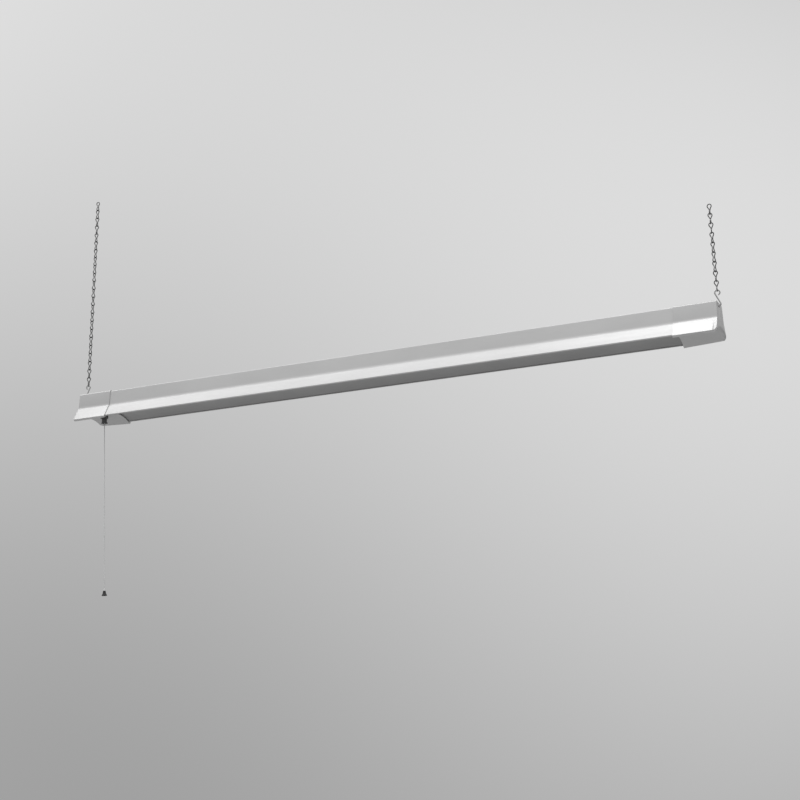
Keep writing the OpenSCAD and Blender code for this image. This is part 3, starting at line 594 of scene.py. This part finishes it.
def cap_shell(name, node, side, front, rear, width=0.35):
    """A copy of a cap with its underside rolled into its end wall and its sharp edges rounded."""
    mesh = nodes[node].data.copy()
    bm = bmesh.new()
    bm.from_mesh(mesh)
    bmesh.ops.remove_doubles(bm, verts=bm.verts, dist=2e-6)
    bmesh.ops.dissolve_limit(bm, angle_limit=math.radians(0.8), verts=bm.verts, edges=bm.edges)
    roll_end(bm, side, front, rear)
    bm.to_mesh(mesh)
    bm.free()
    obj = bpy.data.objects.new(name, mesh)
    bpy.context.scene.collection.objects.link(obj)
    dress(obj, "cap", "fixture", node, sharp=30)
    mod = obj.modifiers.new("bevel", "BEVEL")
    mod.width, mod.segments = width * MM, 3
    mod.limit_method, mod.angle_limit = "ANGLE", math.radians(38)
    mod.miter_outer = "MITER_ARC"
    mod.harden_normals = True      # keeps the flat faces flat in shade up to the bevel
    bpy.context.view_layer.objects.active = obj
    bpy.ops.object.select_all(action="DESELECT")
    obj.select_set(True)
    bpy.ops.object.modifier_apply(modifier=mod.name)


cap_shell("left_cap_shell", "left_end_cap", -1, front=1.5, rear=8.0)
cap_shell("right_cap_shell", "right_end_cap", 1, front=5.0, rear=9.0)

# ---------------------------------------------------------------- chains and hooks

WIRE, LOOP_R, PITCH, PLAY = 1.6, 3.2, 15.5, 0.15
LINK_IN = (PITCH + PLAY) / 2
LOOP_Z = LINK_IN - LOOP_R + WIRE / 2
HOOK_WIRE, HOOK_R, SPAN = 2.2, 3.9, 18.4
HOOK_X = 584.0
HOOK_Z = 46.2 + math.sqrt(2.5 ** 2 - 1)
FIRST = SPAN + HOOK_R - HOOK_WIRE / 2 - PLAY + LINK_IN
LOW_PAST, HIGH_PAST = 25, 75          # degrees that a hook's two ends run past level
END_TWIST, MID_TWIST, LOOSE_TURN = 18, 40, 9      # degrees
NECK_X, NECK_Z = 0.72 * WIRE, 1.3     # where a loop's wire leaves the crossing
LEAN = 3.4                            # degrees, the left chain towards the middle


def loop_points(steps=22):
    """One loop of a link, from its neck at +X round over the top to its neck at -X."""
    d = math.hypot(NECK_X, LOOP_Z - NECK_Z)
    a = math.acos(LOOP_R / d) - math.atan2(LOOP_Z - NECK_Z, NECK_X)
    arc = [Vector((LOOP_R * math.cos(u), 0, LOOP_Z + LOOP_R * math.sin(u)))
           for u in np.linspace(a, math.pi - a, steps)]
    neck = Vector((NECK_X, 0, NECK_Z))
    run = [neck.lerp(arc[0], k / 3) for k in range(3)]
    back = [Vector((-p.x, 0, p.z)) for p in reversed(run)]
    return run + arc + back


def link_path():
    """The closed figure-eight wire of one jack-chain link, its lower loop turned a quarter."""
    top = loop_points()
    turn = Matrix.Rotation(math.pi / 2, 4, "Z") @ Matrix.Rotation(math.pi, 4, "X")
    low = [turn @ p for p in loop_points()]
    ring = top + low[::-1]
    for _ in range(3):      # softens the bends where the wires cross
        n = len(ring)
        ring = [ring[i] * 0.5 + (ring[i - 1] + ring[(i + 1) % n]) * 0.25 for i in range(n)]
    high = max(p.z for p in ring)
    return [p + Vector((0, 0, (LOOP_Z + LOOP_R - high) * p.z / high)) for p in ring]


LINK = tube(link_path(), WIRE / 2, 10, closed=True)


def upright(side, lean):
    """The frame of a hook and its chain: at the end wall's hole, up along the chain."""
    return Matrix.Translation((side * HOOK_X, 0, HOOK_Z)) @ Matrix.Rotation(math.radians(lean), 4, "Y")


def make_links(name, side, lean, first, last, body, drop=0.0):
    """A run of links: a smooth twist that turns back most in the middle, and a small turn by chance."""
    base = upright(side, lean)
    parts = []
    for k in range(first, last + 1):
        twist = END_TWIST - MID_TWIST * math.sin(math.pi * (k - first) / max(last - first, 1))
        turn = 0 if first == last else math.radians(twist + float(rng.uniform(-LOOSE_TURN, LOOSE_TURN)))
        parts.append(placed(LINK, base @ Matrix.Translation((0, 0, FIRST + (k - 1) * PITCH - drop))
                            @ Matrix.Rotation(turn, 4, "Z")))
    dress(from_rings(name + "_wire", *merged(parts)), "zinc", body, name, sharp=60)


def s_hook_path():
    """A low loop open at the top, a slanting shank and a high loop open at the bottom."""
    a = math.asin(2 * HOOK_R / SPAN)
    low = [Vector((HOOK_R * math.cos(u), 0, HOOK_R * math.sin(u)))
           for u in np.linspace(-math.pi - math.radians(LOW_PAST), a, 40)]
    high = [Vector((HOOK_R * math.cos(u), 0, SPAN + HOOK_R * math.sin(u)))
            for u in np.linspace(math.pi + a, -math.radians(HIGH_PAST), 48)]
    return low + [low[-1].lerp(high[0], k / 6) for k in range(1, 6)] + high


def make_hook(name, side, lean, body):
    path = [Vector((side * p.x, 0, p.z)) for p in s_hook_path()]
    wire = tube(path, HOOK_WIRE / 2, 16, chamfer=0.25)
    obj = from_rings(name + "_wire", *placed(wire, upright(side, lean)))
    dress(obj, "zinc", body, name, sharp=50, finish="hook_zinc")


make_hook("left_hook", -1, LEAN, "left_chain")
make_hook("right_hook", 1, 0, "right_chain")
make_links("left_chain", -1, LEAN, 1, 21, "left_chain")
make_links("left_swing_link", -1, LEAN, 22, 22, "left_swinger")
make_links("left_top_link", -1, LEAN, 23, 23, "hangers")
make_links("right_chain", 1, 0, 1, 8, "right_chain")
make_links("right_top_link", 1, 0, 9, 9, "hangers", drop=0.75)

# ---------------------------------------------------------------- switch neck, nut and small fittings

NECK_R, NECK_BORE_R, NECK_TOP = 4.9, 1.6, 12.5
THREAD_LOW, THREAD_PITCH, THREAD_DEPTH = -2.6, 1.0, 0.35
NUT_R, NUT_BORE_R, NUT_H, RIB_H, RIBS, RIB_STEPS = 6.68, 4.95, 5, 0.32, 24, 6
NUT_REACH = 7                         # half of the nut's width, where it meets the arch


def make_neck():
    """Radius and height, from the top: the thread, then the bell mouth and back up through the bore."""
    r, bore, top = NECK_R, NECK_BORE_R, NECK_TOP
    profile = [(bore, top), (r - 0.4, top), (r, top - 0.4)]
    z = top - 0.8
    while z > THREAD_LOW:
        profile += [(r, z), (r - THREAD_DEPTH, z - THREAD_PITCH / 2)]
        z -= THREAD_PITCH
    profile += [(r - 0.3, -2.9), (5.2, -3.6), (5.8, -4.4), (6.0, -4.9), (6.0, -5.6), (5.75, -5.95),
                (5.3, MOUTH_Z), (4.9, -5.9), (4.1, -5.2), (2.6, -4.0), (1.9, -3.4), (bore, -2.8), (bore, top)]
    dress(turned("neck_threaded", profile, (SWITCH_X, 0, 0)), "neck", "fixture", "switch_neck", sharp=50)


def make_nut():
    """A round nut whose rim waves by a formula, ring over ring, with a plain bore."""
    top = ARCH_CROWN - ARCH_R + math.sqrt(ARCH_R ** 2 - NUT_REACH ** 2) - 0.05
    count = RIBS * RIB_STEPS
    angles = [math.tau * j / count for j in range(count)]
    verts, faces = [], []
    for inset, z in ((0.55, top), (0, top - 0.5), (0, top - NUT_H + 0.5), (0.55, top - NUT_H)):
        for a in angles:
            r = NUT_R + RIB_H * math.cos(RIBS * a) - inset
            verts.append(Vector((SWITCH_X + r * math.cos(a), r * math.sin(a), z)))
    for z in (top - NUT_H, top):
        verts += [Vector((SWITCH_X + NUT_BORE_R * math.cos(a), NUT_BORE_R * math.sin(a), z)) for a in angles]
    rings = [0, 1, 2, 3, 4, 5, 0]
    for a, b in zip(rings, rings[1:]):
        faces += [(a * count + j, a * count + (j + 1) % count, b * count + (j + 1) % count, b * count + j)
                  for j in range(count)]
    dress(from_rings("nut_ribbed", verts, faces), "neck", "fixture", "switch_nut", sharp=40)


SCREW_IN, SCREW_Y = 12, 2 * TOP_HALF * 0.3      # from the seam, and from the middle
CAP_TOP, HEAD_H, HEAD_D, SHANK_D, SHANK_L = 49.8, 1.8, 6.0, 3.0, 5.2
RECESS_ARM, RECESS_W, RECESS_DEEP = 3.2, 0.6, 1.0
DRIVER_X, DRIVER_L, RIVET_OUT = -220.0, 170, 6
INLET_Z, INLET_OUT = 23, 1.6


def cut_bar(obj, centre, size):
    """Cuts a bar-shaped recess."""
    bpy.ops.object.select_all(action="DESELECT")
    bpy.ops.mesh.primitive_cube_add(size=1, location=at(*centre), scale=[v * MM for v in size])
    tool = bpy.context.object
    mod = obj.modifiers.new("recess", "BOOLEAN")
    mod.operation, mod.solver, mod.object = "DIFFERENCE", "EXACT", tool
    bpy.context.view_layer.objects.active = obj
    bpy.ops.object.modifier_apply(modifier=mod.name)
    bpy.data.meshes.remove(tool.data)


def make_screws():
    """One pan-head screw with a cross recess, copied to its four places."""
    h, d = HEAD_H, HEAD_D
    profile = [(0, h * 0.99), (d * 0.2, h), (d * 0.33, h * 0.93), (d * 0.44, h * 0.72), (d * 0.49, h * 0.4),
               (d * 0.5, 0.12), (d * 0.48, 0), (SHANK_D / 2, 0), (SHANK_D / 2, -SHANK_L + 0.3),
               (SHANK_D / 2 - 0.3, -SHANK_L), (0, -SHANK_L)]
    places = [(sx * (SEAM_X + SCREW_IN), sy * SCREW_Y, CAP_TOP) for sx in (-1, 1) for sy in (-1, 1)]
    x, y, z = places[0]
    screw = turned("cap_screws_pan", profile, places[0], sides=32)
    above = 0.6                       # how far the cutter stands out over the head
    middle = (x, y, z + h + (above - RECESS_DEEP) / 2)
    cut_bar(screw, middle, (RECESS_ARM, RECESS_W, RECESS_DEEP + above))
    cut_bar(screw, middle, (RECESS_W, RECESS_ARM, RECESS_DEEP + above))
    twins = [copied(screw, Vector(p) - Vector(places[0])) for p in places[1:]]
    dress(joined([screw] + twins), "zinc", "fixture", "cap_screws", sharp=35)


def make_rivets():
    """Radius and height over the hood's top: a domed head with its dimple, the shank and the upset tail."""
    profile = [(0, 1.1), (0.9, 1.05), (1.0, 0.8), (1.3, 1.05), (2.2, 0.85), (2.9, 0.45), (3.15, 0.05),
               (3.1, 0), (1.6, 0), (1.6, -1.6), (2.3, -1.6), (2.2, -2.2), (1.6, -2.9), (0, -3.0)]
    first = turned("rivets_domed", profile, (DRIVER_X - DRIVER_L - RIVET_OUT, 0, HOOD_H), sides=32)
    second = copied(first, (DRIVER_L + 2 * RIVET_OUT, 0, 0))
    dress(joined([first, second]), "aluminium_rivet", "fixture", "driver_rivets")


def make_inlet():
    """Radius and distance inward: the flange, the body with its snap ridge and back through the bore."""
    bore, flange, body = 4.5, 8.5, 6.5
    profile = [(bore + 0.35, 0), (flange - 0.5, 0), (flange - 0.1, 0.35), (flange, 0.9), (flange, 1.5),
               (body, 1.5), (body, 3.9), (body + 0.8, 3.95), (body, 5.1), (body, 5.7), (body - 0.3, 6.0),
               (bore + 0.3, 6.0), (bore, 5.7), (bore, 0.35), (bore + 0.35, 0)]
    ring = turned("inlet_ring", profile, (-HALF_L - INLET_OUT, 0, INLET_Z), lying=True)
    dress(ring, "black_plastic", "fixture", "inlet_bushing")


make_neck()
make_nut()
make_screws()
make_rivets()
make_inlet()

# ---------------------------------------------------------------- studio

FLOOR_Z, FLOOR_R, FLOOR_SIDES = -2.1, 12.0, 96        # metres, in the row frame
FADE_FROM, FADE_TO = 4, 10            # metres out
CEILING, BEHIND, FRONT_GLOW = 1.0, 0.3, 0.68
WIDE, LOW, HIGH = 0.3, -0.1, 0.47     # how far to the sides, down and up the backdrop's gradient runs
# The backdrop's grey as a cubic in the direction of view, (times sideways, times upward): factor.
# The factors were fitted to the photograph's plain background.
GRADIENT = {(0, 0): 0.4632, (1, 0): 0.4933, (0, 1): 0.6589, (2, 0): 0.0655, (1, 1): 0.7081, (0, 2): 0.7596,
            (3, 0): -2.2208, (2, 1): -0.0932, (1, 2): -3.924, (0, 3): -2.4883}


def make_floor():
    """A pale floor that fades into the backdrop far out, and throws less light back up than it shows."""
    bpy.ops.object.select_all(action="DESELECT")
    bpy.ops.mesh.primitive_circle_add(vertices=FLOOR_SIDES, radius=FLOOR_R, fill_type="NGON",
                                      location=(0, 0, 0))
    floor = bpy.context.object
    floor.name = "floor"
    floor.data.transform(Matrix.Translation((0, 0, FLOOR_Z)))
    s = Shader("floor_paint", Roughness=0.8, Specular_IOR_Level=0.2)
    patches = s.surface((1, 1, 1), (0.8, 0.8, 0.8), cloud_detail=3)[1]
    paint = s.tint(patches, grey(0.60), grey(0.64))
    bounce = s.node("Mix", [(0, s.node("LightPath").outputs["Is Diffuse Ray"]), (6, paint)], data_type="RGBA")
    bounce.inputs[7].default_value = (*grey(0.38), 1)
    s.link("Base Color", bounce.outputs[2])
    far = s.node("VectorMath", [(0, s.coords.outputs["Object"])], operation="LENGTH").outputs["Value"]
    s.link("Alpha", s.ramp(far, 1, 0, FADE_FROM, FADE_TO))
    floor.data.materials.append(s.mat)


def make_world():
    """A grey backdrop, smooth over the direction of view, with plain grey behind and a soft ceiling above."""
    world = bpy.data.worlds.new("studio")
    bpy.context.scene.world = world
    world.use_nodes = True
    tree = world.node_tree
    links, new = tree.links, tree.nodes.new
    direction = new("ShaderNodeTexCoord").outputs["Generated"]

    def plug(socket, value):
        if isinstance(value, (int, float)):
            socket.default_value = value
        else:
            links.new(value, socket)

    def calc(op, a, b):
        n = new("ShaderNodeMath")
        n.operation = op
        plug(n.inputs[0], a)
        plug(n.inputs[1], b)
        return n.outputs[0]

    def mixed(fac, a, b):
        n = new("ShaderNodeMix")
        for i, value in ((0, fac), (2, a), (3, b)):
            plug(n.inputs[i], value)
        return n.outputs[0]

    def along(axis):
        n = new("ShaderNodeVectorMath")
        n.operation = "DOT_PRODUCT"
        links.new(direction, n.inputs[0])
        n.inputs[1].default_value = axis
        return n.outputs["Value"]

    def eased(value, low, high):
        n = new("ShaderNodeMapRange")
        n.interpolation_type = "SMOOTHSTEP"
        links.new(value, n.inputs["Value"])
        n.inputs["From Min"].default_value, n.inputs["From Max"].default_value = low, high
        return n.outputs["Result"]

    sideways, upward, ahead = along(RIGHT), along((0, 0, 1)), along((-RIGHT.y, RIGHT.x, 0))
    u = calc("MAXIMUM", calc("MINIMUM", sideways, WIDE), -WIDE)
    v = calc("MAXIMUM", calc("MINIMUM", upward, HIGH), LOW)
    backdrop = None
    for (i, j), c in GRADIENT.items():
        term = c
        for _ in range(i):
            term = calc("MULTIPLY", term, u)
        for _ in range(j):
            term = calc("MULTIPLY", term, v)
        backdrop = term if backdrop is None else calc("ADD", backdrop, term)
    above = calc("MAXIMUM", upward, 0.0)
    beside = eased(calc("ABSOLUTE", sideways, 0.0), 0.3, 0.7)
    on_backdrop = calc("MULTIPLY", eased(ahead, 0.45, 0.8), calc("SUBTRACT", 1.0, beside))
    shown = mixed(on_backdrop, mixed(above, BEHIND, CEILING), backdrop)
    path = new("ShaderNodeLightPath").outputs
    camera_or_glossy = calc("MAXIMUM", path["Is Camera Ray"], path["Is Glossy Ray"])
    seen = calc("MAXIMUM", camera_or_glossy, path["Is Transmission Ray"])
    nearer = calc("MAXIMUM", calc("MULTIPLY", ahead, -1.0), 0.0)
    soft = calc("ADD", calc("MULTIPLY", above, CEILING), calc("MULTIPLY", nearer, FRONT_GLOW))
    links.new(mixed(seen, soft, shown), tree.nodes["Background"].inputs["Color"])


def area(name, place, target, size, power):
    """A rectangular lamp, in metres and watts, turned towards a target."""
    light = bpy.data.lights.new(name, "AREA")
    light.shape, light.size, light.size_y, light.energy = "RECTANGLE", size[0], size[1], power
    obj = bpy.data.objects.new(name, light)
    obj.location = place
    obj.rotation_euler = (Vector(target) - Vector(place)).to_track_quat("-Z", "Y").to_euler()
    bpy.context.scene.collection.objects.link(obj)


make_floor()
make_world()
area("long_box", (-0.45, -0.14, 0.75), (-0.45, -0.14, 0), (1.8, 0.4), 2.7)
area("right_box", (0.45, -0.25, 0.75), (0.50, -0.05, -0.28), (0.6, 0.5), 1.4)
area("left_box", (-1.25, -0.10, 0.75), (-0.9, -0.05, -0.28), (0.6, 0.4), 0.7)

scene = bpy.context.scene
scene.view_settings.view_transform = "Standard"
